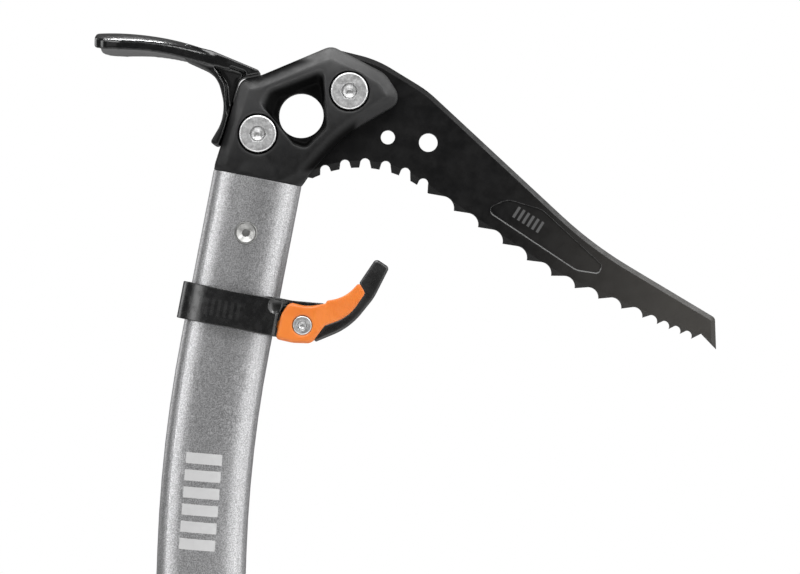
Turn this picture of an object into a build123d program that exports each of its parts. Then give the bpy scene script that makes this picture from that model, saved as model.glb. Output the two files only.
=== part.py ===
from build123d import *
from math import atan2, cos, degrees, radians, sin
import os

# Technical mountaineering ice axe with a sliding handrest.
#
# The frame: Z runs up the straight lower shaft, X points from the shaft towards the pick, and Y is
# the axe's thickness. The origin is the centre of the carabiner hole in the head. Lengths are
# millimetres and angles are degrees. Side profiles are drawn in the XZ plane and extruded both ways
# along Y.

# ---------------------------------------------------------------- driving dimensions
TOTAL_LENGTH = 520.0  # top of the head to the point of the spike
HEAD_TOP_Z = 25.7

# shaft: an oval tube, straight, then bent, then straight again up to the head
SHAFT_HALF_WIDTH = 16.75  # along X
SHAFT_HALF_DEPTH = 11.0  # along Y
SHAFT_END_RADIUS = 8.5
TUBE_WALL = 1.7
BEND_ANGLE = 9.0
BEND_RADIUS = 500.0
JOINT_X, JOINT_Z = -15.6, -24.0  # where the tube butts against the head
UPPER_STRAIGHT = 62.8  # from that joint down to the start of the bend

# head
HEAD_HALF = 9.5
HEAD_BEVEL_FACE, HEAD_BEVEL_SIDE = 4.6, 3.0
WEB_HALF = 4.5  # half the thickness at the floor of the pocket round the carabiner hole
SLOT_HALF = 2.05
CARABINER_RADIUS = 8.4
TANG_LENGTH = 32.0
TANG_GAP = 0.12
REAR_SCREW = (-15.8, -7.5)
FRONT_SCREW = (17.8, 9.6)

# head screws (M8) and their nuts
SCREW_RADIUS = 3.95
SCREW_HEAD_RADIUS = 6.95
SCREW_HEAD_HEIGHT = 4.2
SCREW_KEY = 5.0  # across the flats of the hexagon socket
SCREW_HOLE_RADIUS = 4.15
COUNTERBORE_RADIUS = 7.5
SCREW_PROUD = 0.5  # how far the screw's face stands out of the head's face
NUT_FLATS = 13.0
NUT_HEIGHT = 5.0

# pick
PICK_HALF = 2.0
TEETH_CENTRE = (24.7, -55.3)  # of the arc that the rounded teeth near the head stand on
TEETH_RADIUS = 36.7
ROUND_GULLET_ANGLES = [34.6, 22.9, 11.3, -0.3, -11.6, -23.1]  # from vertical, towards the tip
ROUND_GULLET_DEPTH = 3.6
ROUND_GULLET_TOP_RADIUS = 1.85
ROUND_GULLET_MOUTH_HALF = 2.85
ROUND_GULLET_TILT = 0.45  # of its angle, so the hollows lean less than the teeth's arc does
RAKED_PITCHES = [11.5, 11.0, 11.1, 11.0, 10.8, 10.0, 9.7, 9.4, 8.6, 5.9, 4.8, 4.6, 4.6]
FIRST_RAKED_TOOTH = (48.6, -27.4)
TOOTH_LINE_CORNER = (98.1, -58.5)
PICK_POINT = (158.5, -82.1)
EDGE_BEVEL_FACE, EDGE_BEVEL_SIDE = 2.6, 1.2
SPINE_BEVEL_FACE, SPINE_BEVEL_SIDE = 1.7, 1.2
WEIGHT_HOLES = [(32.7, -6.9, 2.65), (47.9, -8.35, 3.5)]  # x, z and radius

# handrest that slides on the upper shaft; its own frame has "across" towards the pick and "up"
# along the upper shaft, with the origin on the shaft's axis at the middle of the band
HANDREST_BELOW_JOINT = 49.9
BAND_HALF_HEIGHT = 7.85
BAND_HALF_WIDTH = 19.85
BAND_HALF_DEPTH = 14.0
BAND_END_RADIUS = 10.8
BAND_CLEARANCE = 0.4
BAND_FRONT = 17.9  # flat front face, beside the window that the lever's cams reach into
TONGUE_HALF = 4.0
PIVOT = (27.2, -0.8)
LEVER_HALF = 11.0
CHEEK_INNER = 4.6
ARM_HALF = 6.6
HOOK_HALF = 6.0
BUSH_RADIUS = 3.4
PIVOT_SCREW_RADIUS = 2.0
PIVOT_HEAD_RADIUS = 3.5
PIVOT_HEAD_HEIGHT = 2.4
PIVOT_KEY = 3.0
CHEEK_SWEEP = 9.7  # room for the cheeks' upper corners as the lever turns, from the pivot
FORK_RADIUS = 12.2  # room for the tongue between the lever's cheeks, measured from the pivot
PAD_HALF_HEIGHT = 5.2
PAD_HALF_DEPTH = 9.4
PAD_GAP = 0.15  # from the pad's facing to the shaft with the lever closed
PAD_BACK = 17.75
PAD_TRAVEL = 0.3
FACING_THICKNESS = 0.4

# rivets
RIVET_BELOW_JOINT = 20.9
RIVET_RADIUS = 2.9
RIVET_HEAD_RADIUS = 4.3

# grip and spike
GRIP_TOP_Z, GRIP_BOTTOM_Z = -266.0, -446.0
GRIP_HALF_WIDTH, GRIP_HALF_DEPTH = 18.6, 12.9
# distance below the grip's top, and how much wider than its own half widths it is there
GRIP_STATIONS = [(0, -1.1), (5, 0.0), (60, 0.9), (120, 0.2), (156, 0.4), (171, 2.6), (180, 2.2)]
GRIP_GROOVES = [16 + 8 * i for i in range(17)]
SHAFT_END_Z = -458.0
SPIKE_COLLAR = 6.0
SPIKE_HALF = 2.5
SPIKE_EYE_RADIUS = 5.0
SPIKE_TANG = 26.0
SPIKE_RIVET_RADIUS = 2.0

# ---------------------------------------------------------------- frames
LEAN = radians(BEND_ANGLE)
UP = Vector(sin(LEAN), 0, cos(LEAN))  # along the upper shaft
ACROSS = Vector(cos(LEAN), 0, -sin(LEAN))
JOINT = Vector(JOINT_X, 0, JOINT_Z)
BEND_TOP = JOINT - UP * UPPER_STRAIGHT
BEND_BOTTOM = BEND_TOP - Vector(BEND_RADIUS * (1 - cos(LEAN)), 0, BEND_RADIUS * sin(LEAN))
SHAFT_X = BEND_BOTTOM.X
SHAFT_END = Vector(SHAFT_X, 0, SHAFT_END_Z)
SPIKE_POINT_Z = HEAD_TOP_Z - TOTAL_LENGTH
HANDREST = JOINT - UP * HANDREST_BELOW_JOINT


def upper_section(height):
    """Plane square to the upper shaft, at this height above the joint with the head."""
    return Plane(origin=JOINT + UP * height, x_dir=ACROSS, z_dir=UP)


def handrest_section(height):
    """Plane square to the upper shaft, at this height above the middle of the band."""
    return Plane(origin=HANDREST + UP * height, x_dir=ACROSS, z_dir=UP)


LOWER_SECTION = Plane(origin=(SHAFT_X, 0, 0), x_dir=(1, 0, 0), z_dir=(0, 0, 1))
SIDE = Plane.XZ
HANDREST_SIDE = Plane(origin=HANDREST, x_dir=ACROSS, z_dir=(0, -1, 0))


# ---------------------------------------------------------------- small helpers
def oval(half_width, half_depth, end_radius):
    """Oval face made of two broad arcs and two end arcs that meet at a tangent."""
    end_centre = half_width - end_radius
    broad = (end_centre**2 + half_depth**2 - end_radius**2) / (2 * (half_depth - end_radius))
    share = broad / (broad - end_radius)
    meet_x = end_centre * share
    meet_y = (half_depth - broad) + (broad - half_depth) * share
    outline = [
        ThreePointArc((meet_x, meet_y), (half_width, 0), (meet_x, -meet_y)),
        ThreePointArc((meet_x, -meet_y), (0, -half_depth), (-meet_x, -meet_y)),
        ThreePointArc((-meet_x, -meet_y), (-half_width, 0), (-meet_x, meet_y)),
        ThreePointArc((-meet_x, meet_y), (0, half_depth), (meet_x, meet_y)),
    ]
    return make_face(Curve() + outline)


def shaft_oval(outwards=0.0):
    """The shaft's outer oval, moved outwards by this much all round."""
    return oval(
        SHAFT_HALF_WIDTH + outwards, SHAFT_HALF_DEPTH + outwards, SHAFT_END_RADIUS + outwards
    )


def plate(face, half, plane=SIDE):
    """Side profile extruded to both sides of the XZ plane."""
    return extrude(plane * face, half, both=True)


def layer(face, low, high, plane=SIDE):
    """Side profile extruded from one Y to another."""
    return Pos(0, (low + high) / 2, 0) * extrude(plane * face, (high - low) / 2, both=True)


def rounded(points, radii):
    """Closed outline through these corners, each rounded to its own radius."""
    return make_face(FilletPolyline(*points, radius=radii, close=True))


def rod(radius, low, high, at, plane=SIDE):
    """Round rod along Y from one Y to another, at a point of the side view."""
    return layer(Pos(*at) * Circle(radius), low, high, plane)


def key_socket(flats, deep, at, face, plane=SIDE):
    """Hexagon socket in a screw's face: sloping lead-in, flat sides and the drill's cone below."""
    shape = Pos(*at) * hexagon(flats)
    lead = extrude(plane.offset(-face) * Pos(*at) * hexagon(flats * 1.2), -0.2 * flats, taper=26)
    centre = (plane * Pos(*at)).position
    bottom = Plane(origin=(centre.X, face + deep, centre.Z), z_dir=(0, 1, 0))
    drilled = Solid.make_cone(flats * 0.48, 0.5, flats * 0.22, bottom)
    return layer(shape, face - 1, face + deep, plane) + outward(lead.solid()) + drilled


def hexagon(flats):
    """Hexagon of this size across its flats."""
    return RegularPolygon(flats / 2, 6, major_radius=False)


def outward(solid):
    """The same solid with its faces turned outwards, if they were turned inwards."""
    return solid if solid.volume > 0 else Solid(solid.wrapped.Reversed())


def bevelled(face, half, in_plane, along, plane=SIDE):
    """Plate with bevelled rims: each bevel is this wide on the face and this deep along the edge."""
    slope = degrees(atan2(in_plane, along))
    cap = outward(extrude(plane.offset(half - along) * face, along, taper=slope).solid())
    return extrude(plane * face, half - along, both=True) + cap + mirror(cap, about=plane)


def between(plane_at, low, high):
    """Large block between two heights of a family of parallel planes."""
    return extrude(plane_at(low) * Rectangle(400, 400), high - low)


# ---------------------------------------------------------------- shaft
def shaft_path():
    """Centreline of the tube, from its lower end to the joint with the head."""
    lower = Line(SHAFT_END, BEND_BOTTOM)
    half = LEAN / 2
    middle = BEND_BOTTOM + Vector(BEND_RADIUS * (1 - cos(half)), 0, BEND_RADIUS * sin(half))
    bend = ThreePointArc(BEND_BOTTOM, middle, BEND_TOP)
    upper = Line(BEND_TOP, JOINT)
    return Wire([lower, bend, upper])


def make_shaft():
    section = Plane(origin=SHAFT_END, x_dir=(1, 0, 0), z_dir=(0, 0, 1))
    path = shaft_path()
    tube = sweep(section * shaft_oval(), path) - sweep(section * shaft_oval(-TUBE_WALL), path)
    rivet_hole = rod(RIVET_RADIUS, -20, 20, head_rivet_centre())
    spike_hole = rod(SPIKE_RIVET_RADIUS, -20, 20, spike_rivet_centre())
    return tube - rivet_hole - spike_hole - rivet_countersinks()


def head_rivet_centre():
    at = JOINT - UP * RIVET_BELOW_JOINT
    return (at.X, at.Z)


def spike_rivet_centre():
    return (SHAFT_X, (SHAFT_END_Z + GRIP_BOTTOM_Z) / 2)


def rivet_countersinks():
    """Seats for the rivet's two heads in the broad faces of the tube."""
    x, z = head_rivet_centre()
    depth = 1.2
    seats = [
        layer(Pos(x, z) * Circle(RIVET_HEAD_RADIUS + 0.05), SHAFT_HALF_DEPTH - depth, 14.0),
        layer(Pos(x, z) * Circle(RIVET_HEAD_RADIUS + 0.05), -14.0, depth - SHAFT_HALF_DEPTH),
    ]
    return seats[0] + seats[1]


def make_head_rivet():
    """Shank through the tube and the head's tang, with a dimpled head set into each broad face."""
    at = head_rivet_centre()
    face = SHAFT_HALF_DEPTH + 0.05
    seat = SHAFT_HALF_DEPTH - 1.2
    rivet = rod(RIVET_RADIUS - 0.03, -seat, seat, at)
    for side in (-1, 1):
        low, high = sorted((side * seat, side * face))
        rivet += rod(RIVET_HEAD_RADIUS, low, high, at)
        dish = Plane(origin=(at[0], side * face, at[1]), z_dir=(0, -side, 0))
        rivet -= Solid.make_cone(3.5, 1.5, 1.3, dish)
        rim = [
            e
            for e in rivet.edges().filter_by(GeomType.CIRCLE)
            if abs(e.radius - RIVET_HEAD_RADIUS) < 1e-3 and abs((e @ 0).Y - side * face) < 1e-3
        ]
        rivet = chamfer(rim, 0.3)
    return rivet


def make_tube_plugs():
    """Foam plugs that close the tube below the head's tang and above the spike's tang."""
    section = shaft_oval(-TUBE_WALL - TANG_GAP)
    upper = extrude(upper_section(-TANG_LENGTH - 14.0) * section, 12.0)
    low = SHAFT_END_Z + SPIKE_TANG + 2.0
    lower = extrude(Pos(0, 0, low) * (LOWER_SECTION * section), 14.0)
    return [upper, lower]


# ---------------------------------------------------------------- head
def head_outline():
    """Side outline of the head, drawn past the joint with the shaft so that the joint can cut it."""
    below = 14.0
    left = JOINT - ACROSS * SHAFT_HALF_WIDTH
    right = JOINT + ACROSS * SHAFT_HALF_WIDTH
    corners = [
        ((left - UP * below), 0.5),
        (left, 60.0),
        ((-28.6, -8.6), 40.0),
        ((-23.0, 12.6), 5.0),
        ((-15.5, 14.4), 14.0),
        ((10.5, 26.4), 5.0),
        ((31.0, 16.6), 9.0),
        ((38.0, 6.6), 4.8),
        ((17.2, -6.4), 55.0),
        ((3.9, -21.6), 20.0),
        (right, 8.0),
        ((right - UP * below), 0.5),
    ]
    points = [(c.X, c.Z) if isinstance(c, Vector) else c for c, _ in corners]
    return rounded(points, [r for _, r in corners])


def make_head_body():
    outline = head_outline()
    body = bevelled(outline, HEAD_HALF, HEAD_BEVEL_FACE, HEAD_BEVEL_SIDE)
    flare = loft([upper_section(0.0) * shaft_oval(), upper_section(7.0) * oval(25.0, 13.0, 9.0)])
    body &= flare + between(upper_section, 7.0, 90.0)
    collar = loft([upper_section(0.0) * shaft_oval(), upper_section(9.0) * oval(17.0, 9.4, 7.5)])
    body += collar & plate(outline, 20)
    tang = extrude(upper_section(-TANG_LENGTH) * shaft_oval(-TUBE_WALL - TANG_GAP), TANG_LENGTH)
    body += tang - rod(RIVET_RADIUS, -20, 20, head_rivet_centre())
    body -= pick_slot()
    body -= plate(Circle(CARABINER_RADIUS), 20)
    for side in (-1, 1):
        body -= head_pocket(side)
    for at in (REAR_SCREW, FRONT_SCREW):
        body -= rod(SCREW_HOLE_RADIUS, -20, 20, at)
        body -= rod(COUNTERBORE_RADIUS, -20, screw_seat(), at)
        body -= layer(Pos(*at) * hexagon(NUT_FLATS + 0.3), nut_seat(), 20)
    return body


def screw_seat():
    return -(HEAD_HALF + SCREW_PROUD - SCREW_HEAD_HEIGHT)


def nut_seat():
    return HEAD_HALF - NUT_HEIGHT + 0.4


def pick_slot():
    """Slot in the middle plane that holds the pick and the adze's tang."""
    floor = [(-45, -11.8), (-26, -15.6), (-12, -20.2), (0.5, -24.6), (3, -27.5), (60, -60)]
    return plate(make_face(Polyline(*floor, (60, 60), (-45, 60), close=True)), SLOT_HALF)


def head_pocket(side):
    """Sloping hollow on one broad face of the head, whose flat floor rings the carabiner hole."""
    radii = [2.5, 3.0, 1.6, 2.0, 2.4, 2.0]
    rim = rounded(
        [(-16.4, 5.1), (-13.6, 9.4), (8.0, 18.4), (10.2, -4.4), (2.4, -12.6), (-2.0, -11.2)], radii
    )
    floor = rounded(
        [(-10.6, -1.3), (-8.7, 5.9), (6.6, 12.6), (9.5, -3.2), (2.2, -10.8), (-3.2, -9.4)], radii
    )
    at_face = Plane(origin=(0, side * (HEAD_HALF + 0.2), 0), x_dir=(1, 0, 0), z_dir=(0, -1, 0))
    at_floor = Plane(origin=(0, side * WEB_HALF, 0), x_dir=(1, 0, 0), z_dir=(0, -1, 0))
    return loft([at_face * rim, at_floor * floor])


def make_head_screws():
    """Two M8 screws: a low round head with a hexagon socket, and a shank to the nut."""
    screws = []
    face = -(HEAD_HALF + SCREW_PROUD)
    for at in (REAR_SCREW, FRONT_SCREW):
        screw = rod(SCREW_HEAD_RADIUS, face, screw_seat(), at)
        rim = screw.edges().filter_by(GeomType.CIRCLE).sort_by(Axis.Y)[0]
        screw = fillet([rim], 0.7)
        screw += rod(SCREW_RADIUS, screw_seat(), HEAD_HALF - 0.8, at)
        screws.append(screw - key_socket(SCREW_KEY, 2.2, at, face))
    return screws


def make_head_nuts():
    """Two hexagon nuts in the hexagon recesses of the far cheek."""
    nuts = []
    for at in (REAR_SCREW, FRONT_SCREW):
        low = nut_seat()
        nut = layer(Pos(*at) * hexagon(NUT_FLATS), low, low + NUT_HEIGHT)
        cone_plane = Plane(origin=(at[0], low + NUT_HEIGHT, at[1]), z_dir=(0, -1, 0))
        nut &= Solid.make_cone(NUT_FLATS / 2 - 0.2, NUT_FLATS / 2 + 10.3, 10.5, cone_plane)
        nuts.append(nut - rod(SCREW_RADIUS + 0.05, -20, 20, at))
    return nuts


# ---------------------------------------------------------------- pick
def tooth_line():
    """The line that the points of the raked teeth stand on, from the rounded teeth to the tip."""
    return FilletPolyline(FIRST_RAKED_TOOTH, TOOTH_LINE_CORNER, PICK_POINT, radius=[120.0])


def toothed_side():
    """Everything above the line that the teeth stand on; the rest of its outline is far away."""
    line = tooth_line()
    arc_end = (5.0, -23.2)
    top = (TEETH_CENTRE[0], TEETH_CENTRE[1] + TEETH_RADIUS)
    arc = ThreePointArc(FIRST_RAKED_TOOTH, top, arc_end)
    beyond = line @ 1 + (line % 1) * 25
    above = [(-40, -16), (-40, 90), (220, 90), (220, -70)]
    far = Polyline(arc_end, (1.2, -22.6), *above, beyond, line @ 1)
    return make_face(Curve() + [line, arc, far])


def spine_side():
    """Everything below the spine and behind the tip's end face."""
    return rounded(
        [
            (-40, 14.6),
            (-12.6, 14.6),
            (9.9, 25.8),
            (27.5, 22.1),
            (46.8, 11.2),
            (110.9, -44.4),
            (157.6, -70.2),
            (159.3, -95.0),
            (159.3, -130.0),
            (-40, -130),
        ],
        [0.5, 0.5, 5.0, 40.0, 40.0, 150.0, 2.0, 0.5, 0.5, 0.5],
    )


def rear_clearance():
    """What is cut from the pick's rear end to make room for the adze's tang and the slot's floor."""
    x, z = REAR_SCREW
    seat = 8.4
    end = -12.6
    behind = Polyline(
        (x - 40, z - 30), (x - 40, z + 60), (end, z + 60), (end, z), (x, z - 30), close=True
    )
    floor = Polyline((-40, -14.6), (-12.0, -19.2), (0.8, -23.8), (0.8, -60), (-40, -60), close=True)
    return plate(make_face(behind), 5) + rod(seat, -5, 5, (x, z)) + plate(make_face(floor), 5)


def raked_gullets():
    """One cutter between each two raked teeth: a long flank, then a hollow up to the next point."""
    line = Wire(tooth_line().edges())
    length = line.length
    cutters = []
    start = 0.0
    for pitch in RAKED_PITCHES:
        a = line.position_at(start / length)
        b = line.position_at((start + pitch) / length)
        along = (b - a).normalized()
        inwards = Vector(-along.Y, along.X)
        gap = (b - a).length
        depth = 2.0 + 0.07 * gap
        deepest = 0.72 * gap - 1.1

        def place(t, n):
            return a + along * t + inwards * n

        flank_end = place(0.72 * deepest, 0.84 * depth)
        hollow = place(deepest + 0.32 * (gap - deepest), 0.96 * depth)
        outline = [
            Line(a, flank_end),
            ThreePointArc(flank_end, hollow, b),
            Polyline(b, place(gap, -2.0), place(0.0, -2.0), a),
        ]
        cutters.append(plate(make_face(Curve() + outline), 5))
        start += pitch
    return cutters, line.position_at(start / length)


def round_gullets():
    """Cutters for the hollows between the rounded teeth near the head."""
    cutters = []
    for angle in ROUND_GULLET_ANGLES:
        top = TEETH_RADIUS + ROUND_GULLET_DEPTH - ROUND_GULLET_TOP_RADIUS
        at = Pos(*TEETH_CENTRE) * Pos(top * sin(radians(angle)), top * cos(radians(angle)))
        mouth = -ROUND_GULLET_DEPTH - 1.0
        shape = make_face(
            Polyline(
                (-ROUND_GULLET_TOP_RADIUS, 0),
                (ROUND_GULLET_TOP_RADIUS, 0),
                (ROUND_GULLET_MOUTH_HALF, mouth),
                (-ROUND_GULLET_MOUTH_HALF, mouth),
                close=True,
            )
        )
        shape += Circle(ROUND_GULLET_TOP_RADIUS)
        tilt = 2.0 - ROUND_GULLET_TILT * angle
        cutters.append(plate(at * Rot(0, 0, tilt) * shape, 5))
    return cutters


def make_pick():
    pick = bevelled(toothed_side(), PICK_HALF, EDGE_BEVEL_FACE, EDGE_BEVEL_SIDE)
    pick &= bevelled(spine_side(), PICK_HALF, SPINE_BEVEL_FACE, SPINE_BEVEL_SIDE)
    pick -= rear_clearance()
    cutters, last_tooth = raked_gullets()
    beak = Polyline(last_tooth, (152.6, -76.3), PICK_POINT, (150.0, -90.0), close=True)
    for cutter in cutters + round_gullets() + [plate(make_face(beak), 5)]:
        pick -= cutter
    pick &= plate(spine_reach(), 5)
    pick -= plate(Circle(CARABINER_RADIUS), 5)
    pick -= rod(SCREW_HOLE_RADIUS, -5, 5, FRONT_SCREW)
    for x, z, radius in WEIGHT_HOLES:
        pick -= rod(radius, -5, 5, (x, z))
    for side in (-1, 1):
        low, high = sorted((side * (PICK_HALF - 0.4), side * 3))
        pick -= layer(thumb_recess(), low, high)
    return pick


def spine_reach():
    """Limits the pick to the part in front of its point and above its lowest tooth."""
    corners = [(-40, 60), (170, 60), (170, -82.4), (100, -82.4), (-40, -40)]
    return make_face(Polyline(*corners, close=True))


def thumb_recess():
    """Shallow long hollow milled in each side of the pick."""
    return rounded(
        [
            (69.9, -32.6),
            (78.5, -28.6),
            (91.5, -32.0),
            (114.6, -52.0),
            (113.4, -55.2),
            (105.0, -54.2),
        ],
        [2.0, 6.0, 8.0, 1.6, 1.6, 6.0],
    )


# ---------------------------------------------------------------- adze
BLADE_STATIONS = [  # x, height of the crown, half width, droop of the sides, thickness
    (-78.0, 27.95, 27.5, 5.1, 3.8),
    (-62.0, 28.25, 25.5, 5.2, 3.4),
    (-47.0, 26.35, 19.0, 4.3, 3.9),
    (-37.0, 23.75, 12.5, 2.4, 4.1),
    (-27.0, 20.3, 9.6, 0.9, 3.6),
]


def crescent(x, crown, half_width, droop, thickness):
    """Cross-section of the blade: a band that droops to both sides of its crown."""
    plane = Plane(origin=(x, 0, 0), x_dir=(0, 1, 0), z_dir=(1, 0, 0))
    side = crown - droop
    outline = [
        ThreePointArc((-half_width, side), (0, crown), (half_width, side)),
        Line((half_width, side), (half_width, side - thickness)),
        ThreePointArc(
            (half_width, side - thickness), (0, crown - thickness), (-half_width, side - thickness)
        ),
        Line((-half_width, side - thickness), (-half_width, side)),
    ]
    return plane * make_face(Curve() + outline)


def make_adze():
    blade = loft([crescent(*station) for station in BLADE_STATIONS])
    blade &= extrude(adze_plan(), 60)
    bracket = plate(adze_bracket(), 9.6)
    for side in (-1, 1):
        bracket -= adze_hollow(side)
    tang = plate(adze_tang(), SLOT_HALF - 0.05) - rod(SCREW_HOLE_RADIUS, -5, 5, REAR_SCREW)
    return blade + bracket + tang


def adze_hollow(side):
    """Hollow with sloping walls in one side of the bracket, between its flange and its leg."""
    radii = [1.0, 1.2, 2.0, 0.6, 5.0, 6.0]
    rim = rounded(
        [(-41.0, 21.4), (-19.6, 15.2), (-23.3, 11.4), (-27.4, -4.0), (-28.7, 10.2), (-32.4, 16.2)],
        radii,
    )
    floor = rounded(
        [(-37.6, 19.9), (-22.0, 15.0), (-24.0, 10.4), (-26.8, 0.0), (-27.9, 10.2), (-31.2, 15.6)],
        radii,
    )
    at_face = Plane(origin=(0, side * 9.7, 0), x_dir=(1, 0, 0), z_dir=(0, -1, 0))
    at_floor = Plane(origin=(0, side * 5.5, 0), x_dir=(1, 0, 0), z_dir=(0, -1, 0))
    return loft([at_face * rim, at_floor * floor])


def adze_plan():
    """The blade seen from above: a broad edge that narrows to the root."""
    half = [(-77.1, 23.8), (-68.0, 24.0), (-34.0, 9.8), (-24.0, 9.6)]
    other_half = [(x, -y) for x, y in reversed(half)]
    radii = [6.5, 2.0, 24.0, 1.0]
    return rounded(half + other_half, radii + radii[::-1])


def adze_bracket():
    """Side profile of the adze's root: a top flange and a leg that lies along the head's back."""
    return rounded(
        [
            (-44.0, 24.9),
            (-34.0, 22.9),
            (-16.2, 16.2),
            (-15.9, 14.9),
            (-23.5, 13.1),
            (-28.9, -8.5),
            (-30.6, -13.0),
            (-33.5, -11.4),
            (-29.4, -4.0),
            (-28.7, 3.0),
            (-31.7, 13.9),
            (-44.0, 19.0),
        ],
        [1.0, 12.0, 0.7, 0.5, 3.2, 38.0, 1.1, 1.1, 16.0, 16.0, 11.0, 1.0],
    )


def adze_tang():
    """Plate that reaches from the leg into the head's slot and round the rear screw."""
    x, z = REAR_SCREW
    reach = 8.1
    outline = [
        Line((-25.6, 4.0), (x, z + reach)),
        ThreePointArc((x, z + reach), (x + reach, z), (x, z - reach)),
        Polyline((x, z - reach), (-26.6, -14.4), (-31.2, -11.6), (-28.6, -4.0), (-25.6, 4.0)),
    ]
    return make_face(Curve() + outline)


# ---------------------------------------------------------------- handrest
def band_oval(outwards=0.0):
    return oval(
        SHAFT_HALF_WIDTH + BAND_CLEARANCE + outwards,
        SHAFT_HALF_DEPTH + BAND_CLEARANCE + outwards,
        SHAFT_END_RADIUS + BAND_CLEARANCE + outwards,
    )


def make_band():
    """Ring round the shaft, flat in front, with a tongue that carries the lever's pivot."""
    side = [(0.0, BAND_HALF_DEPTH), (4.0, 13.68), (BAND_FRONT - 1.2, 11.65), (BAND_FRONT, 10.4)]
    other_side = [(x, -y) for x, y in reversed(side)]
    section = oval(BAND_HALF_WIDTH, BAND_HALF_DEPTH, BAND_END_RADIUS)
    section += make_face(Polyline(*side, *other_side, close=True))
    section &= Pos(BAND_FRONT - 30, 0) * Rectangle(60, 60)
    ring = bevelled(section, BAND_HALF_HEIGHT, 0.9, 0.9, handrest_section(0))
    tongue = rounded(
        [
            (12.0, 7.2),
            (20.4, 7.3),
            (33.6, 8.7),
            (34.0, 6.0),
            (33.8, -6.6),
            (20.6, -7.0),
            (12.0, -7.2),
        ],
        [0.5, 12.0, 0.8, 2.0, 6.2, 2.0, 0.5],
    )
    ring += tongue_root()
    ring += plate(tongue, TONGUE_HALF, HANDREST_SIDE)
    ring -= extrude(handrest_section(-20) * band_oval(), 40)
    ring -= pad_window()
    for side in (-1, 1):
        scoop = HANDREST_SIDE * Pos(17.4, 4.6) * Sphere(6.0)
        ring -= Pos(0, side * 16.5, 0) * scoop
    return ring - rod(BUSH_RADIUS + 0.02, -20, 20, PIVOT, HANDREST_SIDE)


def tongue_root():
    """Wedge that widens the tongue's upper edge into the ring, hollowed to let the cheeks turn."""
    half = [(12.0, 11.4), (BAND_FRONT, 10.8), (24.0, 3.6)]
    other_half = [(x, -y) for x, y in reversed(half)]
    root = extrude(handrest_section(1.5) * make_face(Polyline(*half, *other_half, close=True)), 5.9)
    return root - rod(CHEEK_SWEEP, -20, 20, PIVOT, HANDREST_SIDE)


def pad_window():
    """Opening in the front of the ring that the clamping pad moves in."""
    low = 4.0
    deep = PAD_BACK + PAD_TRAVEL + 0.15
    tall = 2 * PAD_HALF_HEIGHT + 0.3
    behind_tongue = Pos((low + deep) / 2, 0) * Rectangle(deep - low, tall)
    through = Pos((low + 30) / 2, 0) * Rectangle(30 - low, tall)
    beside = plate(through, PAD_HALF_DEPTH + 0.15, HANDREST_SIDE)
    beside -= plate(Rectangle(200, 200), TONGUE_HALF, HANDREST_SIDE)
    return beside + plate(behind_tongue, PAD_HALF_DEPTH + 0.15, HANDREST_SIDE)


def pad_blank(back):
    """Block that fills the window from the shaft's axis to this distance in front of it."""
    face = Pos((4.2 + back) / 2, 0) * Rectangle(back - 4.2, 2 * PAD_HALF_HEIGHT)
    return plate(face, PAD_HALF_DEPTH, HANDREST_SIDE)


def make_clamp_pad():
    return pad_blank(PAD_BACK) - extrude(
        handrest_section(-20) * shaft_oval(PAD_GAP + FACING_THICKNESS), 40
    )


def make_pad_facing():
    shell = extrude(handrest_section(-20) * shaft_oval(PAD_GAP + FACING_THICKNESS), 40)
    shell -= extrude(handrest_section(-20) * shaft_oval(PAD_GAP), 40)
    return pad_blank(PAD_BACK) & shell


def make_pivot_bush():
    bush = rod(BUSH_RADIUS, -TONGUE_HALF, TONGUE_HALF, PIVOT, HANDREST_SIDE)
    return bush - rod(PIVOT_SCREW_RADIUS + 0.06, -20, 20, PIVOT, HANDREST_SIDE)


def make_pivot_washers():
    washers = []
    for side in (-1, 1):
        low, high = sorted((side * (TONGUE_HALF + 0.04), side * (CHEEK_INNER - 0.04)))
        washer = rod(5.2, low, high, PIVOT, HANDREST_SIDE)
        washers.append(washer - rod(PIVOT_SCREW_RADIUS + 0.06, -20, 20, PIVOT, HANDREST_SIDE))
    return washers


def lever_outline():
    """Side outline of the lever's body."""
    return rounded(
        [
            (20.9, 6.8),
            (27.4, 6.3),
            (34.1, 8.8),
            (34.5, 10.0),
            (40.8, 12.4),
            (44.9, 18.9),
            (47.9, 15.4),
            (43.6, 5.6),
            (35.3, 0.6),
            (31.8, -6.8),
            (25.0, -7.9),
            (18.4, -7.7),
            (18.5, 1.4),
        ],
        [2.6, 14.0, 0.4, 0.8, 14.0, 0.9, 1.6, 16.0, 2.0, 3.0, 12.0, 1.4, 9.0],
    )


def cam_noses():
    """Two cams, one on each cheek, that press the pad through the ring's window."""
    nose = rounded(
        [(PAD_BACK + 0.03, -1.0), (24.0, 3.0), (24.0, -5.0), (PAD_BACK + 0.03, -4.0)],
        [0.6, 0.5, 0.5, 1.2],
    )
    inner, outer = CHEEK_INNER, PAD_HALF_DEPTH - 0.2
    noses = layer(nose, inner, outer, HANDREST_SIDE) + layer(nose, -outer, -inner, HANDREST_SIDE)
    return noses


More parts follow.
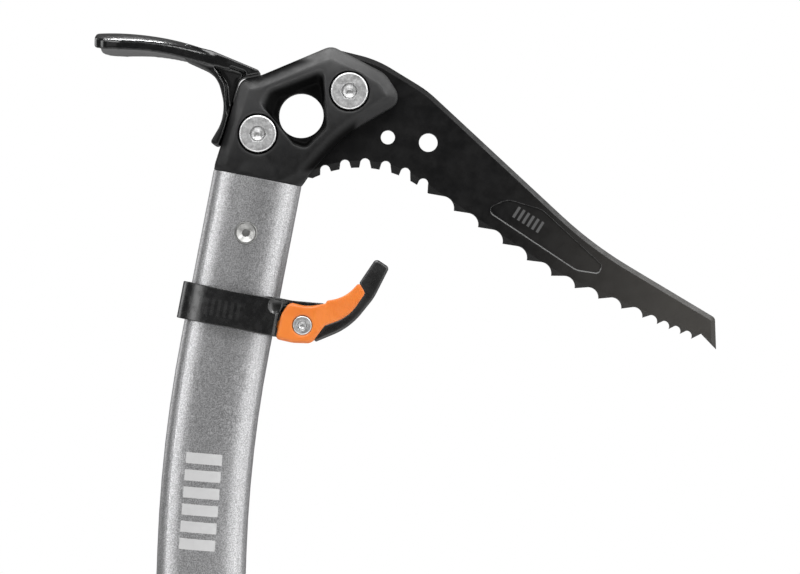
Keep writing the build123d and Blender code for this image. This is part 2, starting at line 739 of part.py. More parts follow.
def make_lever_body():
    """Forked lever: two cheeks beside the tongue, a solid arm, and a groove for the hook's rib."""
    section = Polyline(
        (10.0, LEVER_HALF),
        (31.0, LEVER_HALF),
        (45.0, ARM_HALF),
        (60.0, ARM_HALF),
        (60.0, -ARM_HALF),
        (45.0, -ARM_HALF),
        (31.0, -LEVER_HALF),
        (10.0, -LEVER_HALF),
        close=True,
    )
    body = plate(lever_outline(), LEVER_HALF, HANDREST_SIDE)
    faces = body.faces().sort_by(Axis.Y)
    body = chamfer([*faces[0].edges(), *faces[-1].edges()], 0.7)
    body &= extrude(handrest_section(-40) * make_face(section), 80)
    body -= fork_room(CHEEK_INNER)
    body += cam_noses()
    body -= plate(hook_rib(0.05), 2.05, HANDREST_SIDE)
    body -= rod(PIVOT_SCREW_RADIUS + 0.03, -20, 20, PIVOT, HANDREST_SIDE)
    seat = LEVER_HALF - PIVOT_HEAD_HEIGHT + 0.2
    body -= rod(PIVOT_HEAD_RADIUS + 0.25, -20, -seat, PIVOT, HANDREST_SIDE)
    body -= rod(PIVOT_HEAD_RADIUS + 0.25, seat, 20, PIVOT, HANDREST_SIDE)
    return body


def fork_room(half):
    """Room that the tongue needs between the cheeks while the lever turns."""
    back = Pos(PIVOT[0] - 15, PIVOT[1]) * Rectangle(30, 40)
    return plate(back, half, HANDREST_SIDE) + rod(FORK_RADIUS, -half, half, PIVOT, HANDREST_SIDE)


def hook_outline():
    """Side outline of the hook that lies along the outside of the lever and ends in its tip."""
    return rounded(
        [
            (45.0, 18.9),
            (49.3, 28.9),
            (54.9, 26.6),
            (51.4, 14.2),
            (44.7, 1.6),
            (32.3, -6.6),
            (33.4, 1.2),
            (42.4, 6.6),
            (46.6, 15.3),
        ],
        [0.8, 1.6, 1.4, 22.0, 26.0, 0.7, 2.0, 16.0, 1.6],
    )


def hook_rib(spread=0.0):
    """Rib of the hook that the lever's arm is moulded round."""
    rib = rounded(
        [(44.9, 14.6), (47.6, 17.6), (50.0, 15.0), (46.0, 5.0), (43.0, 3.0), (41.6, 7.6)],
        [0.5, 0.5, 2.0, 4.0, 1.0, 6.0],
    )
    return offset(rib, spread) if spread else rib


def make_lever_hook():
    hook = bevelled(hook_outline(), HOOK_HALF, 0.6, 0.6, HANDREST_SIDE)
    rib = plate(hook_rib(), 2.0, HANDREST_SIDE)
    return (hook - plate(lever_outline(), 30, HANDREST_SIDE)) + rib - fork_room(CHEEK_INNER)


def make_pivot_screw():
    face = LEVER_HALF + 0.1
    seat = LEVER_HALF - PIVOT_HEAD_HEIGHT + 0.2
    screw = rod(PIVOT_HEAD_RADIUS, -face, -seat, PIVOT, HANDREST_SIDE)
    rim = screw.edges().filter_by(GeomType.CIRCLE).sort_by(Axis.Y)[0]
    screw = fillet([rim], 0.45)
    screw += rod(PIVOT_SCREW_RADIUS, -seat, seat + 1.2, PIVOT, HANDREST_SIDE)
    return screw - key_socket(PIVOT_KEY, 1.2, PIVOT, -face, HANDREST_SIDE)


def make_pivot_nut():
    face = LEVER_HALF + 0.1
    seat = LEVER_HALF - PIVOT_HEAD_HEIGHT + 0.2
    nut = rod(PIVOT_HEAD_RADIUS, seat, face, PIVOT, HANDREST_SIDE)
    nut -= rod(PIVOT_SCREW_RADIUS + 0.03, 0, seat + 1.3, PIVOT, HANDREST_SIDE)
    slot = HANDREST_SIDE * (Pos(*PIVOT) * Rectangle(5.0, 1.1))
    return nut - Pos(0, face, 0) * extrude(slot, 0.7, both=True)


# ---------------------------------------------------------------- grip and spike
def make_grip():
    """Rubber sleeve on the lower shaft, with a swell at its foot and rounded grooves across it."""
    sections = []
    for below_top, grow in GRIP_STATIONS:
        half_width, half_depth = GRIP_HALF_WIDTH + grow, GRIP_HALF_DEPTH + grow
        face = oval(half_width, half_depth, SHAFT_END_RADIUS + 1.9 + grow)
        sections.append(Pos(0, 0, GRIP_TOP_Z - below_top) * (LOWER_SECTION * face))
    body = loft(sections)
    ring = Rectangle(80, 60) - oval(
        GRIP_HALF_WIDTH - 0.6, GRIP_HALF_DEPTH - 0.6, SHAFT_END_RADIUS + 1.3
    )
    grooves = [
        extrude(Pos(0, 0, GRIP_TOP_Z - below_top) * (LOWER_SECTION * ring), 1.6)
        for below_top in GRIP_GROOVES
    ]
    body -= grooves
    bore = extrude(Pos(0, 0, GRIP_BOTTOM_Z - 5) * (LOWER_SECTION * shaft_oval(0.02)), 200)
    return body - bore


def make_spike():
    """Steel spike: a collar under the tube, a tang inside it and a flat blade with an eye."""
    low = SHAFT_END_Z - SPIKE_COLLAR
    collar = extrude(Pos(0, 0, low) * (LOWER_SECTION * shaft_oval()), SPIKE_COLLAR)
    collar = chamfer(collar.faces().sort_by(Axis.Z)[0].outer_wire().edges(), 2.0)
    tang = extrude(
        Pos(0, 0, SHAFT_END_Z) * (LOWER_SECTION * shaft_oval(-TUBE_WALL - TANG_GAP)), SPIKE_TANG
    )
    outline = rounded(
        [
            (SHAFT_X - 13.0, low + 3.0),
            (SHAFT_X - 12.0, low - 8.0),
            (SHAFT_X - 4.6, low - 20.0),
            (SHAFT_X + 4.0, SPIKE_POINT_Z - 0.6),
            (SHAFT_X + 12.4, low - 6.0),
            (SHAFT_X + 13.0, low + 3.0),
        ],
        [0.5, 10.0, 16.0, 0.5, 24.0, 0.5],
    )
    blade = plate(outline, SPIKE_HALF)
    eye = (SHAFT_X + 1.6, low - 8.6)
    spike = collar + tang + blade - rod(SPIKE_EYE_RADIUS, -20, 20, eye)
    return spike - rod(SPIKE_RIVET_RADIUS, -20, 20, spike_rivet_centre())


def make_spike_rivet():
    at = spike_rivet_centre()
    rivet = rod(SPIKE_RIVET_RADIUS - 0.03, -SHAFT_HALF_DEPTH, SHAFT_HALF_DEPTH, at)
    for side in (-1, 1):
        low, high = sorted((side * SHAFT_HALF_DEPTH, side * (SHAFT_HALF_DEPTH + 0.9)))
        head = rod(3.4, low, high, at)
        rim = head.edges().filter_by(GeomType.CIRCLE).sort_by(Axis.Y)[0 if side < 0 else -1]
        rivet += fillet([rim], 0.7)
    return rivet


# ---------------------------------------------------------------- write every piece
PIECES = {
    "shaft_tube": make_shaft,
    "head_body": make_head_body,
    "head_rivet": make_head_rivet,
    "tube_plugs": make_tube_plugs,
    "head_screws": make_head_screws,
    "head_nuts": make_head_nuts,
    "pick": make_pick,
    "adze": make_adze,
    "handrest_band": make_band,
    "clamp_pad": make_clamp_pad,
    "pad_facing": make_pad_facing,
    "pivot_bush": make_pivot_bush,
    "pivot_washers": make_pivot_washers,
    "lever_body": make_lever_body,
    "lever_hook": make_lever_hook,
    "pivot_screw": make_pivot_screw,
    "pivot_nut": make_pivot_nut,
    "grip_sleeve": make_grip,
    "spike": make_spike,
    "spike_rivet": make_spike_rivet,
}

os.makedirs("parts", exist_ok=True)
for name, make in PIECES.items():
    piece = make()
    solids = piece if isinstance(piece, list) else [piece]
    export_step(Compound(children=[s for p in solids for s in p.solids()]), f"parts/{name}.step")
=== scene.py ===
import math

import bmesh
import bpy
from mathutils import Matrix, Vector


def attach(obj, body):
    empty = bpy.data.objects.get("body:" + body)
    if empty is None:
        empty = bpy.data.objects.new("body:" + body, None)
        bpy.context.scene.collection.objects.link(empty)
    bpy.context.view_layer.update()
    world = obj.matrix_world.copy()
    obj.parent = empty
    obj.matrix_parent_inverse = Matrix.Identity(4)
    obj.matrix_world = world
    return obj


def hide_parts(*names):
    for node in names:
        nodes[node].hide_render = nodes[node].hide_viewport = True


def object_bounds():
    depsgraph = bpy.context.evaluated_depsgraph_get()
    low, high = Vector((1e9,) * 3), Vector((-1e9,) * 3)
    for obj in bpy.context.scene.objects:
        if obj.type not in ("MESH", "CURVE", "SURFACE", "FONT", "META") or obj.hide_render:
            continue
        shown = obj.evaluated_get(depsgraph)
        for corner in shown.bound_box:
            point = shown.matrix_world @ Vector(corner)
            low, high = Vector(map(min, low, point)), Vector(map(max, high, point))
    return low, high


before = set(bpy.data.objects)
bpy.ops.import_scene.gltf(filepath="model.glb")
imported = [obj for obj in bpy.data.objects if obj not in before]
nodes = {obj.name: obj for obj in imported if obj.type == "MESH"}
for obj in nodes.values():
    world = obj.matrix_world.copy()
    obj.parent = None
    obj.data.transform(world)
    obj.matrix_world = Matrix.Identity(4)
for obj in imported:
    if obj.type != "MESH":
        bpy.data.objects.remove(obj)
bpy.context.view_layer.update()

scene = bpy.context.scene
scene.view_settings.view_transform = "Standard"
MM = 0.001

# ---------------------------------------------------------------- camera
CAMERA_LOOKS_AT = Vector((0.0392, 0.0, -0.0628))
CAMERA_DISTANCE = 1.5
CAMERA_ROLL = math.radians(2.0)
CAMERA_LENS = 180.0

cam_data = bpy.data.cameras.new("camera")
cam_data.sensor_width = 36.0
cam_data.lens = CAMERA_LENS
cam = bpy.data.objects.new("camera", cam_data)
scene.collection.objects.link(cam)
roll_c, roll_s = math.cos(CAMERA_ROLL), math.sin(CAMERA_ROLL)
cam.matrix_world = Matrix(
    (
        (roll_c, -roll_s, 0.0, CAMERA_LOOKS_AT.x),
        (0.0, 0.0, -1.0, CAMERA_LOOKS_AT.y - CAMERA_DISTANCE),
        (roll_s, roll_c, 0.0, CAMERA_LOOKS_AT.z),
        (0.0, 0.0, 0.0, 1.0),
    )
)
scene.camera = cam


# ---------------------------------------------------------------- node materials
class Material:
    """A Principled material with short helpers for its procedural inputs."""

    def __init__(self, name, color, rough, metallic=0.0, **constants):
        self.mat = bpy.data.materials.new(name)
        self.mat.use_nodes = True
        self.tree = self.mat.node_tree
        self.bsdf = self.tree.nodes["Principled BSDF"]
        self.bsdf.inputs["Base Color"].default_value = (*color, 1.0)
        self.bsdf.inputs["Roughness"].default_value = rough
        self.bsdf.inputs["Metallic"].default_value = metallic
        for key, value in constants.items():
            self.bsdf.inputs[key.replace("_", " ")].default_value = value
        coordinates = self.tree.nodes.new("ShaderNodeTexCoord")
        self.coords = coordinates.outputs["Object"]
        self.own_normal = coordinates.outputs["Normal"]

    def put(self, node, key, value):
        if isinstance(value, bpy.types.NodeSocket):
            self.tree.links.new(value, node.inputs[key])
        else:
            node.inputs[key].default_value = value

    def set(self, key, value):
        self.put(self.bsdf, key, value)

    def noise(self, scale, detail=2.0, rough=0.5):
        n = self.tree.nodes.new("ShaderNodeTexNoise")
        self.put(n, "Vector", self.coords)
        self.put(n, "Scale", scale)
        self.put(n, "Detail", detail)
        self.put(n, "Roughness", rough)
        return n.outputs["Fac"]

    def voronoi(self, scale):
        n = self.tree.nodes.new("ShaderNodeTexVoronoi")
        self.put(n, "Vector", self.coords)
        self.put(n, "Scale", scale)
        return n.outputs["Distance"]

    def local_coords(self, centre, rotation):
        """Coordinates about a centre, turned with it."""
        n = self.tree.nodes.new("ShaderNodeMapping")
        n.vector_type = "TEXTURE"
        self.put(n, "Vector", self.coords)
        self.put(n, "Location", centre)
        self.put(n, "Rotation", rotation)
        return n.outputs["Vector"]

    def spread(self, value, low, high, to_low=0.0, to_high=1.0):
        """The value eased from low..high to to_low..to_high, and held beyond both ends."""
        n = self.tree.nodes.new("ShaderNodeMapRange")
        n.interpolation_type = "SMOOTHSTEP"
        self.put(n, "Value", value)
        self.put(n, "From Min", low)
        self.put(n, "From Max", high)
        self.put(n, "To Min", to_low)
        self.put(n, "To Max", to_high)
        return n.outputs["Result"]

    def math(self, kind, a, b=0.0):
        n = self.tree.nodes.new("ShaderNodeMath")
        n.operation = kind
        self.put(n, 0, a)
        self.put(n, 1, b)
        return n.outputs[0]

    def mix(self, share, a, b):
        n = self.tree.nodes.new("ShaderNodeMix")
        n.data_type = "RGBA"
        self.put(n, 0, share)
        for index, value in ((6, a), (7, b)):
            if not isinstance(value, bpy.types.NodeSocket):
                value = (*value, 1.0)
            self.put(n, index, value)
        return n.outputs[2]

    def split(self, vector):
        n = self.tree.nodes.new("ShaderNodeSeparateXYZ")
        self.put(n, 0, vector)
        return n.outputs

    def bump(self, height, strength, distance, normal=None):
        n = self.tree.nodes.new("ShaderNodeBump")
        self.put(n, "Height", height)
        self.put(n, "Strength", strength)
        self.put(n, "Distance", distance)
        if normal is not None:
            self.put(n, "Normal", normal)
        return n.outputs["Normal"]

    def round_edges(self, radius):
        """The normal averaged within this radius, which rounds sharp edges in the shading."""
        n = self.tree.nodes.new("ShaderNodeBevel")
        n.samples = 6
        self.put(n, "Radius", radius)
        return n.outputs["Normal"]

    def edges(self, radius, sharp=0.12):
        """1 along the edges of the mesh, 0 on its faces."""
        geometry = self.tree.nodes.new("ShaderNodeNewGeometry")
        n = self.tree.nodes.new("ShaderNodeVectorMath")
        n.operation = "DOT_PRODUCT"
        self.put(n, 0, self.round_edges(radius))
        self.put(n, 1, geometry.outputs["Normal"])
        return self.spread(n.outputs["Value"], 1.0, 1.0 - sharp)

    def around(self, centres):
        """Distance from the nearest of these points of the side view, and the angle round it."""
        nearest, angle = None, None
        x, _, z = (self.split(self.coords)[i] for i in range(3))
        for cx, cz in centres:
            dx, dz = self.math("SUBTRACT", x, cx), self.math("SUBTRACT", z, cz)
            squares = self.math("ADD", self.math("MULTIPLY", dx, dx), self.math("MULTIPLY", dz, dz))
            radius, turn = self.math("SQRT", squares), self.math("ARCTAN2", dz, dx)
            if nearest is None:
                nearest, angle = radius, turn
                continue
            closer = self.math("LESS_THAN", radius, nearest)
            both = []
            for new, old in ((radius, nearest), (turn, angle)):
                change = self.math("MULTIPLY", closer, self.math("SUBTRACT", new, old))
                both.append(self.math("ADD", old, change))
            nearest, angle = both
        return nearest, angle

    def bars(self, centre, turn, length, height, count, share=0.6):
        """1 on a row of plain bars about a point of the side view, turned by degrees."""
        moved = self.local_coords(centre, (0, -math.radians(turn), 0))
        x, _, z = (self.split(moved)[i] for i in range(3))
        along = self.math("MULTIPLY", self.math("ADD", x, length / 2), count / length)
        on = self.math("LESS_THAN", self.math("FRACT", along), share)
        inside = self.math("LESS_THAN", self.math("ABSOLUTE", x), length / 2)
        tall = self.math("LESS_THAN", self.math("ABSOLUTE", z), height / 2)
        return self.math("MULTIPLY", self.math("MULTIPLY", on, inside), tall)


# Rows of bars: centre, turn in degrees, length, height, count, and the share that a bar fills.
SHAFT_MARK = ((-0.0322, 0.0, -0.1442), 87.4, 0.0385, 0.0135, 6, 0.64)
PICK_MARK = ((0.0868, 0.0, -0.0362), -30.5, 0.0125, 0.0046, 6, 0.5)
BAND_MARK = ((-0.0261, 0.0, -0.0733), -9.0, 0.0145, 0.0062, 6, 0.5)

# Centres in the side view.
HEAD_SCREWS = ((-0.0158, -0.0075), (0.0178, 0.0096))
PIVOT = ((0.003334, -0.078331),)
CARABINER_HOLE = ((0.0, 0.0),)

# The head's pocket, darkened with painted shade: distance from the hole, and distance from the
# middle plane, at which the painted shade starts and is full.
POCKET_REACH = (0.0225, 0.0195)
POCKET_DEPTH = (0.0094, 0.0068)

# The lower lip of the pick's long recess lies between these limits (outside, inside) along X and
# across the pick, where across is z + x * RECESS_SLOPE.
RECESS_SLOPE = 0.6
RECESS_LEFT, RECESS_RIGHT = (0.0685, 0.0705), (0.1185, 0.1165)
RECESS_LOW, RECESS_HIGH = (0.0035, 0.005), (0.0175, 0.0155)

# Ticks on the head screws, and the turning marks on every screw.
TICK_COUNT, TICK_SHARE = 24, 0.34
TICK_RADIUS, TICK_HALF_LENGTH = 0.0049, 0.00062
TURNING_PER_METRE = 16000.0


def shaft_material():
    """Blasted light alloy with a printed row of bars."""
    m = Material("shaft_blasted_alloy", (0.4, 0.4, 0.41), 0.42, 0.85)
    fine = m.noise(2300.0, 2.0, 0.6)
    coarse = m.noise(60.0, 3.0, 0.5)
    speckle = m.spread(fine, 0.36, 0.64)
    base = m.mix(speckle, (0.33, 0.33, 0.335), (0.65, 0.65, 0.66))
    base = m.mix(m.spread(coarse, 0.35, 0.7, 0.0, 0.12), base, (0.42, 0.42, 0.43))
    printed = m.bars(*SHAFT_MARK)
    m.set("Base Color", m.mix(printed, base, (0.7, 0.7, 0.7)))
    m.set("Metallic", m.math("SUBTRACT", 0.85, m.math("MULTIPLY", printed, 0.5)))
    m.set("Roughness", m.spread(m.noise(900.0, 2.0), 0.3, 0.7, 0.31, 0.4))
    m.set("Normal", m.bump(fine, 0.4, 0.00008))
    return m.mat


def coated_material(
    name, color, light, rough, grain=2600.0, bump=0.25,
    edge_highlight_and_wear=None, mark=None, rounded=None, **constants
):
    """Coated metal or moulded plastic: a fine grain over soft mottling.

    The edge colour is a lighter colour for its edges, a painted edge highlight; mark is a row of
    raised bars, as for Material.bars, also painted a little lighter as a painted highlight; rounded
    is the radius for Material.round_edges.
    """
    m = Material(name, color, rough, **constants)
    grain_noise = m.noise(grain, 2.0, 0.55)
    mottling = m.spread(m.noise(110.0, 3.0, 0.55), 0.38, 0.66)
    base = m.mix(mottling, color, light)
    base = m.mix(m.spread(grain_noise, 0.45, 0.75, 0.0, 0.35), base, light)
    if edge_highlight_and_wear:
        # Painted edge highlight: the edges lightened to the edge colour.
        base = m.mix(m.edges(0.0007, 0.3), base, edge_highlight_and_wear)
    normal = m.bump(grain_noise, bump, 0.00008, m.round_edges(rounded) if rounded else None)
    if mark:
        raised = m.bars(*mark)
        normal = m.bump(raised, 0.8, 0.0004, normal)
        # Painted highlight: the raised bars are painted a little lighter.
        base = m.mix(m.math("MULTIPLY", raised, 0.7), base, (0.019, 0.019, 0.019))
    m.set("Base Color", base)
    m.set("Roughness", m.spread(m.noise(420.0, 3.0), 0.3, 0.7, rough - 0.05, rough + 0.07))
    m.set("Normal", normal)
    return m.mat


def head_material():
    """Forged and coated; painted light pales it at the top and the rear, painted shade darkens and
    dulls the pocket.
    """
    m = Material("head_charcoal", (0.016, 0.016, 0.0165), 0.46)
    grain = m.noise(3000.0, 2.0, 0.55)
    x, y, z = (m.split(m.coords)[i] for i in range(3))
    # Painted light: paler towards the top and the rear, and paler still on the top bevel, where the
    # light falls; the specular follows it.
    slope = m.math("SUBTRACT", z, m.math("MULTIPLY", x, 0.25))
    pale = m.spread(slope, -0.018, 0.014)
    base = m.mix(pale, (0.0035, 0.0035, 0.0036), (0.03, 0.03, 0.0305))
    base = m.mix(m.spread(z, 0.014, 0.024), base, (0.085, 0.085, 0.085))
    base = m.mix(m.spread(m.noise(110.0, 3.0), 0.38, 0.66, 0.0, 0.3), base, (0.016, 0.016, 0.0165))
    base = m.mix(m.spread(grain, 0.45, 0.75, 0.0, 0.2), base, (0.03, 0.03, 0.031))
    # Painted shade: darker, and with less specular, in the pocket round the hole.
    radius, _ = m.around(CARABINER_HOLE)
    near_hole = m.spread(radius, *POCKET_REACH)
    pocket_shade = m.math("MULTIPLY", near_hole, m.spread(m.math("ABSOLUTE", y), *POCKET_DEPTH))
    m.set("Base Color", m.mix(pocket_shade, base, (0.002, 0.002, 0.002)))
    shine = m.spread(pale, 0.0, 1.0, 0.3, 0.5)
    m.set("Specular IOR Level", m.math("MULTIPLY", shine, m.spread(pocket_shade, 0.0, 1.0, 1.0, 0.12)))
    m.set("Roughness", m.spread(m.noise(420.0, 3.0), 0.3, 0.7, 0.41, 0.53))
    m.set("Normal", m.bump(grain, 0.25, 0.00008))
    return m.mat


def pick_material():
    """Coated steel, browner at the tip; wear and painted highlight on its edges, painted highlight on
    its recess's lower lip.
    """
    m = Material("pick_coated_steel", (0.012, 0.012, 0.012), 0.4)
    grain = m.noise(1500.0, 3.0, 0.6)
    mottling = m.spread(m.noise(140.0, 4.0, 0.6), 0.4, 0.7)
    x, _, z = (m.split(m.coords)[i] for i in range(3))
    towards_tip = m.spread(x, 0.07, 0.16)
    plain = m.mix(towards_tip, (0.0035, 0.0035, 0.0037), (0.05, 0.047, 0.043))
    base = m.mix(m.math("MULTIPLY", mottling, 0.12), plain, (0.03, 0.029, 0.028))
    # Lighter on the edges, broken up by noise: partly wear, partly a painted edge highlight.
    edge_highlight_and_wear = m.edges(0.00035, 0.25)
    broken = m.math("MULTIPLY", edge_highlight_and_wear, m.spread(m.noise(900.0, 3.0), 0.36, 0.6, 0.25, 1.0))
    base = m.mix(broken, base, (0.16, 0.16, 0.16))
    mark = m.bars(*PICK_MARK)
    base = m.mix(m.math("MULTIPLY", mark, 0.8), base, (0.11, 0.11, 0.11))
    # Painted highlight on the lower lip of the long recess, where light from above falls.
    across = m.math("ADD", z, m.math("MULTIPLY", x, RECESS_SLOPE))
    lip = m.spread(m.split(m.round_edges(0.0005))[2], 0.05, 0.3)
    for value, limit in (
        (across, RECESS_HIGH), (across, RECESS_LOW), (x, RECESS_LEFT), (x, RECESS_RIGHT)
    ):
        lip = m.math("MULTIPLY", lip, m.spread(value, *limit))
    base = m.mix(m.math("MULTIPLY", lip, 0.8), base, (0.3, 0.3, 0.3))
    m.set("Base Color", base)
    # Stronger specular on upward faces away from the head: a painted reflection along the spine.
    upward = m.spread(m.split(m.own_normal)[2], 0.2, 0.6)
    beyond_head = m.spread(x, 0.045, 0.08, 0.15, 1.0)
    spine = m.math("MULTIPLY", upward, beyond_head)
    m.set("Specular IOR Level", m.spread(spine, 0.0, 1.0, 0.2, 0.75))
    m.set("Roughness", m.spread(m.noise(300.0, 4.0), 0.3, 0.7, 0.36, 0.52))
    m.set("Normal", m.bump(grain, 0.2, 0.00006, m.round_edges(0.00025)))
    return m.mat


def steel_material(name, color, rough, edge=0.00025, turned=(), socket=0.0):
    """Brushed steel. Round the turned centres, a screw has turning marks, a ring of ticks where
    its head is wide enough, and a key socket of this radius whose walls are darkened with painted
    shade.
    """
    m = Material(name, color, rough, 1.0)
    grain = m.noise(1400.0, 3.0, 0.6)
    base = m.mix(m.spread(grain, 0.35, 0.7), tuple(c * 0.78 for c in color), color)
    height = grain
    if turned:
        radius, angle = m.around(turned)
        rings = m.math("SINE", m.math("MULTIPLY", radius, TURNING_PER_METRE))
        height = m.math("ADD", m.math("MULTIPLY", rings, 0.3), grain)
        base = m.mix(m.spread(rings, -1.0, 1.0, 0.0, 0.2), base, tuple(c * 0.75 for c in color))
        off_ring = m.math("ABSOLUTE", m.math("SUBTRACT", radius, TICK_RADIUS))
        ring = m.math("LESS_THAN", off_ring, TICK_HALF_LENGTH)
        turns = m.math("MULTIPLY", angle, TICK_COUNT / math.tau)
        marks = m.math("MULTIPLY", ring, m.math("LESS_THAN", m.math("FRACT", turns), TICK_SHARE))
        base = m.mix(m.math("MULTIPLY", marks, 0.75), base, (0.97, 0.97, 0.97))
        height = m.math("SUBTRACT", height, marks)
        # Painted shade: the socket's walls darkened.
        in_socket = m.spread(radius, socket, socket * 0.9)
        off_floor = m.spread(radius, socket * 0.55, socket * 0.75, 0.1, 1.0)
        painted_socket_shade = m.math("MULTIPLY", in_socket, off_floor)
        base = m.mix(m.math("MULTIPLY", painted_socket_shade, 0.6), base, tuple(c * 0.28 for c in color))
    m.set("Base Color", base)
    m.set("Roughness", m.spread(m.noise(500.0, 3.0), 0.3, 0.7, rough - 0.06, rough + 0.08))
    m.set("Normal", m.bump(height, 0.18, 0.00005, m.round_edges(edge)))
    return m.mat


def rubber_material(name, color, rough):
    """Pebbled rubber or foam with a little pale dust."""
    m = Material(name, color, rough, 0.0, Specular_IOR_Level=0.4)
    pebbles = m.voronoi(1100.0)
    dust = m.spread(m.noise(70.0, 4.0, 0.6), 0.45, 0.75)
    light = tuple(c * 2.2 + 0.006 for c in color)
    m.set("Base Color", m.mix(m.math("MULTIPLY", dust, 0.6), color, light))
    m.set("Roughness", m.spread(m.noise(250.0, 3.0), 0.3, 0.7, rough - 0.06, rough + 0.1))
    m.set("Normal", m.bump(pebbles, 0.35, 0.00012))
    return m.mat


MATERIALS = {
    "shaft": shaft_material(),
    "head": head_material(),
    "pick": pick_material(),
    "adze": coated_material(
        "adze_gloss_black", (0.0035, 0.0035, 0.0037), (0.006, 0.006, 0.006), 0.16, 300.0, 0.006,
        rounded=0.0009, Coat_Weight=0.4, Coat_Roughness=0.1,
    ),
    "band": coated_material(
        "band_black_plastic", (0.004, 0.004, 0.0043), (0.008, 0.008, 0.008), 0.24, 2400.0, 0.06,
        mark=BAND_MARK, Specular_IOR_Level=0.75,
    ),
    "lever": coated_material(
        "lever_orange_plastic", (0.73, 0.185, 0.027), (0.78, 0.215, 0.036), 0.36, 2600.0, 0.08,
        # The lighter edge colour is a painted highlight on the lever's edges.
        edge_highlight_and_wear=(0.95, 0.4, 0.15), Subsurface_Weight=0.08, Subsurface_Scale=0.001,
    ),
    "hook": coated_material(
        "hook_black_plastic", (0.008, 0.008, 0.008), (0.015, 0.015, 0.015), 0.3, 2600.0, 0.08,
        # The lighter edge colour is a painted highlight on the hook's edges.
        edge_highlight_and_wear=(0.07, 0.07, 0.07), Specular_IOR_Level=0.8,
    ),
    "plastic": coated_material(
        "small_black_plastic", (0.012, 0.012, 0.012), (0.02, 0.02, 0.02), 0.45
    ),
    "natural": coated_material("bush_natural_plastic", (0.5, 0.49, 0.46), (0.6, 0.59, 0.55), 0.4),
    "bright": steel_material(
        "screw_bright_steel", (0.98, 0.98, 0.98), 0.4, 0.0002, HEAD_SCREWS, 0.0031
    ),
    "pivot": steel_material("pivot_steel", (0.95, 0.95, 0.95), 0.38, 0.0002, PIVOT, 0.0019),
    "steel": steel_material("small_steel", (0.9, 0.9, 0.9), 0.36),
    "dull": steel_material("rivet_dull_steel", (0.4, 0.4, 0.39), 0.38),
    "spike": steel_material("spike_ground_steel", (0.32, 0.32, 0.33), 0.36, 0.0004),
    "grip": rubber_material("grip_rubber", (0.011, 0.011, 0.0115), 0.62),
    "foam": rubber_material("plug_foam", (0.02, 0.02, 0.02), 0.85),
}
NODE_MATERIALS = {
    "shaft_tube": "shaft",
    "head_body": "head",
    "pick": "pick",
    "adze": "adze",
    "head_screws": "bright",
    "head_nuts": "steel",
    "head_rivet": "dull",
    "spike_rivet": "dull",
    "tube_plugs": "foam",
    "handrest_band": "band",
    "clamp_pad": "plastic",
    "pad_facing": "foam",
    "pivot_bush": "natural",
    "pivot_washers": "natural",
    "lever_body": "lever",
    "lever_hook": "hook",
    "pivot_screw": "pivot",
    "pivot_nut": "steel",
    "grip_sleeve": "grip",
    "spike": "spike",
}


def paint(obj, key):
    obj.data.materials.clear()
    obj.data.materials.append(MATERIALS[key])


for node_name, key in NODE_MATERIALS.items():
    paint(nodes[node_name], key)


# ---------------------------------------------------------------- refined pieces
def link(name, mesh):
    obj = bpy.data.objects.new(name, mesh)
    scene.collection.objects.link(obj)
    return obj


def baked(obj, modifiers):
    """Apply these modifiers, (type, {property: value}) pairs, to the object's mesh."""
    for kind, values in modifiers:
        modifier = obj.modifiers.new(kind.lower(), kind)
        for key, value in values.items():
            setattr(modifier, key, value)
    evaluated = obj.evaluated_get(bpy.context.evaluated_depsgraph_get())
    mesh = bpy.data.meshes.new_from_object(evaluated)
    obj.modifiers.clear()
    obj.data = mesh
    for polygon in mesh.polygons:
        polygon.use_smooth = True


def softened(name, node, body, material, voxel, rounds, across=0):
    """A node's own shape, remeshed into even faces and relaxed, so that its edges are rounded.

    The last rounds move points along Y only, which rounds the sides and keeps the side view.
    """
    mesh = nodes[node].data.copy()
    work = bmesh.new()
    work.from_mesh(mesh)
    bmesh.ops.remove_doubles(work, verts=work.verts, dist=1e-6)
    work.to_mesh(mesh)
    work.free()
    obj = link(name, mesh)
    baked(
        obj,
        [
            ("REMESH", {"mode": "VOXEL", "voxel_size": voxel, "adaptivity": 0.0}),
            ("SMOOTH", {"factor": 0.5, "iterations": rounds}),
            ("SMOOTH", {"factor": 0.5, "iterations": across, "use_x": False, "use_z": False}),
        ],
    )
    paint(obj, material)
    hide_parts(node)
    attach(obj, body)
    return obj


softened("head_forging", "head_body", "axe", "head", 0.4 * MM, 14, 12)
softened("adze_blade", "adze", "axe", "adze", 0.3 * MM, 16, 20)
softened("handrest_ring", "handrest_band", "handrest", "band", 0.2 * MM, 8, 6)
lever = softened(
    "lever_moulding", "lever_body", "lever", "lever", 0.25 * MM, 2, 64
)
lever.visible_glossy = False  # for the look: the orange stays out of the other parts' reflections
softened("hook_moulding", "lever_hook", "lever", "hook", 0.25 * MM, 2, 60)
softened("grip_rubber", "grip_sleeve", "axe", "grip", 0.7 * MM, 3)


# ---------------------------------------------------------------- floor and light
FLOOR_HALF = 2.5
FLOOR_GAP = 0.5 * MM
FLOOR_CORNERS = ((-1, -1), (1, -1), (1, 1), (-1, 1))

low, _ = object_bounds()
floor_mesh = bpy.data.meshes.new("floor")
floor_mesh.from_pydata(
    [(sx * FLOOR_HALF, sy * FLOOR_HALF, low.z - FLOOR_GAP) for sx, sy in FLOOR_CORNERS],
    [],
    [(0, 1, 2, 3)],
)
floor = link("floor", floor_mesh)
floor_material = Material("floor_pale", (0.85, 0.85, 0.85), 0.6)
clouds = floor_material.noise(3.0)
floor_material.set(
    "Base Color", floor_material.mix(clouds, (0.86, 0.86, 0.86), (0.83, 0.83, 0.83))
)
floor.data.materials.append(floor_material.mat)

# The world is white where the camera sees it, and lights the object only dimly.
WORLD_LIGHT, WORLD_SEEN = 0.1, 1.0

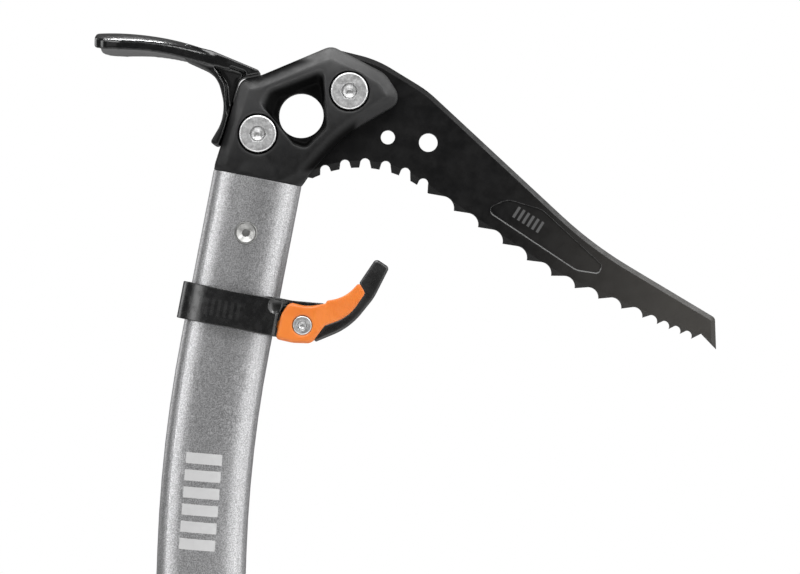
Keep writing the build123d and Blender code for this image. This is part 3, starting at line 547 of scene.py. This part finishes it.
world = bpy.data.worlds.new("studio")
world.use_nodes = True
scene.world = world
tree = world.node_tree
tree.nodes.clear()
output = tree.nodes.new("ShaderNodeOutputWorld")
blend = tree.nodes.new("ShaderNodeMixShader")
path = tree.nodes.new("ShaderNodeLightPath")
tree.links.new(path.outputs["Is Camera Ray"], blend.inputs[0])
for socket, strength in ((1, WORLD_LIGHT), (2, WORLD_SEEN)):
    background = tree.nodes.new("ShaderNodeBackground")
    background.inputs["Color"].default_value = (1.0, 1.0, 1.0, 1.0)
    background.inputs["Strength"].default_value = strength
    tree.links.new(background.outputs[0], blend.inputs[socket])
tree.links.new(blend.outputs[0], output.inputs[0])

LIGHTS_AIM = Vector((0.02, 0.0, -0.08))


def softbox(name, azimuth, elevation, distance, width, height, radiance):
    """Area light, in degrees and metres from LIGHTS_AIM. Azimuth 0 is on the camera's side, and
    positive is to the camera's left.
    """
    data = bpy.data.lights.new(name, "AREA")
    data.shape = "RECTANGLE"
    data.size, data.size_y = width, height
    data.energy = radiance * math.pi * width * height
    data.spread = math.radians(180.0)
    obj = bpy.data.objects.new(name, data)
    scene.collection.objects.link(obj)
    a, e = math.radians(azimuth), math.radians(elevation)
    away = Vector((-math.sin(a) * math.cos(e), -math.cos(a) * math.cos(e), math.sin(e)))
    obj.location = LIGHTS_AIM + away * distance
    obj.visible_camera = False
    obj.rotation_mode = "QUATERNION"
    obj.rotation_quaternion = away.to_track_quat("Z", "Y")


softbox("light_left", 67.0, 12.0, 1.3, 0.34, 1.2, 3.5)
softbox("light_right", -62.0, 22.0, 1.3, 0.5, 1.8, 2.9)
softbox("light_right_edge", -92.0, 12.0, 1.3, 0.5, 1.2, 2.0)
softbox("light_top", 15.0, 58.0, 1.2, 1.2, 0.6, 6.0)
softbox("light_front", 22.0, 22.0, 0.6, 0.35, 0.35, 0.35)
softbox("light_spark", -54.0, 40.0, 1.3, 0.2, 0.2, 14.0)
softbox("light_low_front", 0.0, -46.0, 0.45, 0.52, 0.26, 0.9)
softbox("light_crown", 174.0, 38.0, 1.3, 0.2, 0.02, 40.0)
softbox("light_back_left", 130.0, 20.0, 1.4, 0.5, 1.2, 1.4)
softbox("light_back_right", -130.0, 20.0, 1.4, 0.5, 1.2, 1.4)
